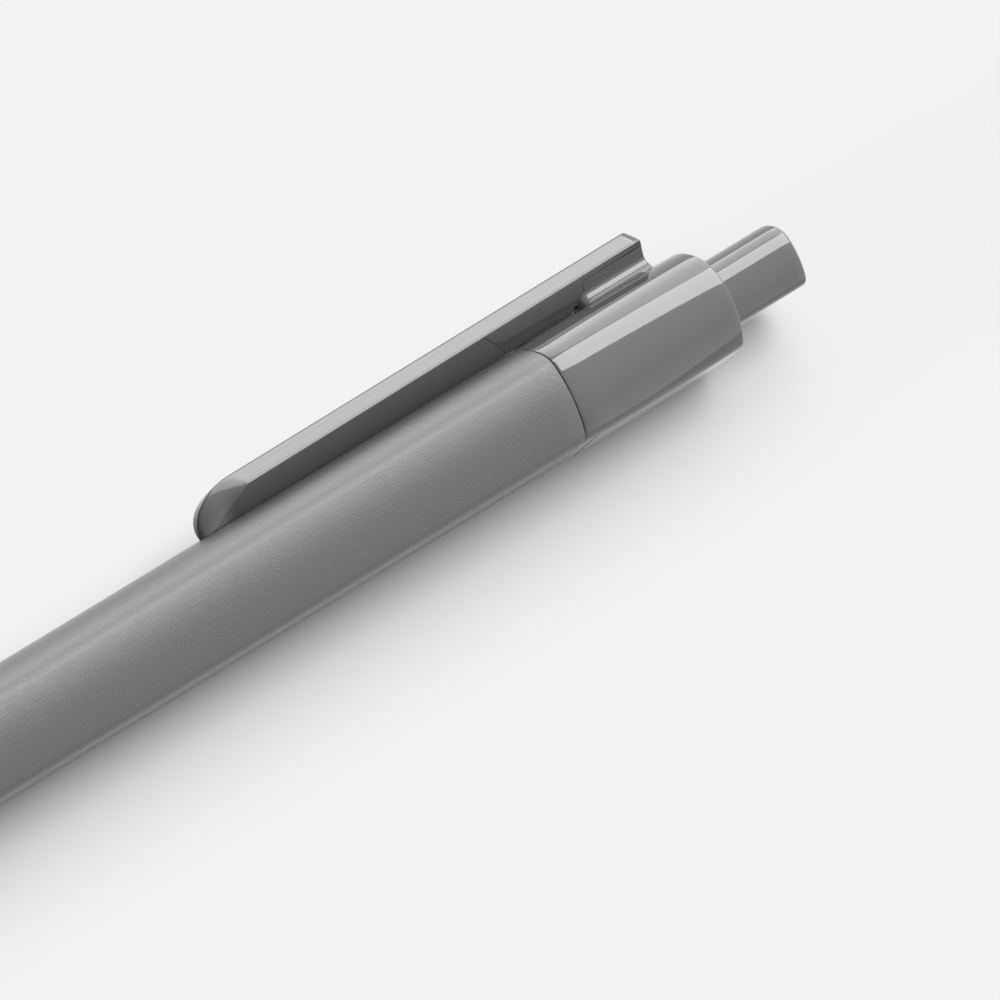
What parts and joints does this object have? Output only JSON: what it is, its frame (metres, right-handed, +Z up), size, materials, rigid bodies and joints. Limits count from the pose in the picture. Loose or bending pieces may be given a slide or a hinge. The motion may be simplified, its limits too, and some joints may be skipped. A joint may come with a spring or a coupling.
{
  "type": "retractable ballpoint pen",
  "caption": "Retractable ballpoint pen with a rounded three-sided matte barrel, glossy clip casing, push button and a spring-loaded refill with ball point.",
  "frame": {"origin": "centre of the bounding box base: middle of the length and width, on the plane the pen lies on", "axes": "+X along the pen from the nose to the push button, +Z up with the pen lying on one long side, +Y the side the clip points to"},
  "size_m": [0.142, 0.0134, 0.0097],
  "materials": {
    "barrel_plastic": "fine eroded grain",
    "casing_plastic": "polished",
    "button_plastic": "polished",
    "works_plastic": "as moulded",
    "rotor_plastic": "as moulded",
    "spring_steel": "drawn wire",
    "refill_steel": "drawn tube",
    "plug_plastic": "as moulded",
    "neck_steel": "turned",
    "point_brass": "turned",
    "ball_steel": "ground",
    "ink": "paste"
  },
  "bodies": {
    "housing": {"barrel": "barrel_plastic", "clip_casing": "casing_plastic", "cam_sleeve": "works_plastic", "return_spring": "spring_steel"},
    "button": {"push_button": "button_plastic", "plunger": "works_plastic"},
    "refill": {"cam_rotor": "rotor_plastic", "refill_tube": "refill_steel", "refill_end_plug": "plug_plastic", "refill_neck": "neck_steel", "refill_point": "point_brass", "writing_ball": "ball_steel", "ink_column": "ink"}
  },
  "joints": [
    {"name": "button_press", "type": "slide", "parent": "housing", "child": "button", "axis": [-1, 0, 0], "range_m": [0, 0.0055], "stiffness_N_per_m": 350, "springref_m": -0.003},
    {"name": "refill_slide", "type": "slide", "parent": "housing", "child": "refill", "axis": [-1, 0, 0], "range_m": [0, 0.0055], "deforming": ["return_spring"]}
  ],
  "couplings": [
    {"joint": "refill_slide", "follows": "button_press", "ratio": 1}
  ]
}
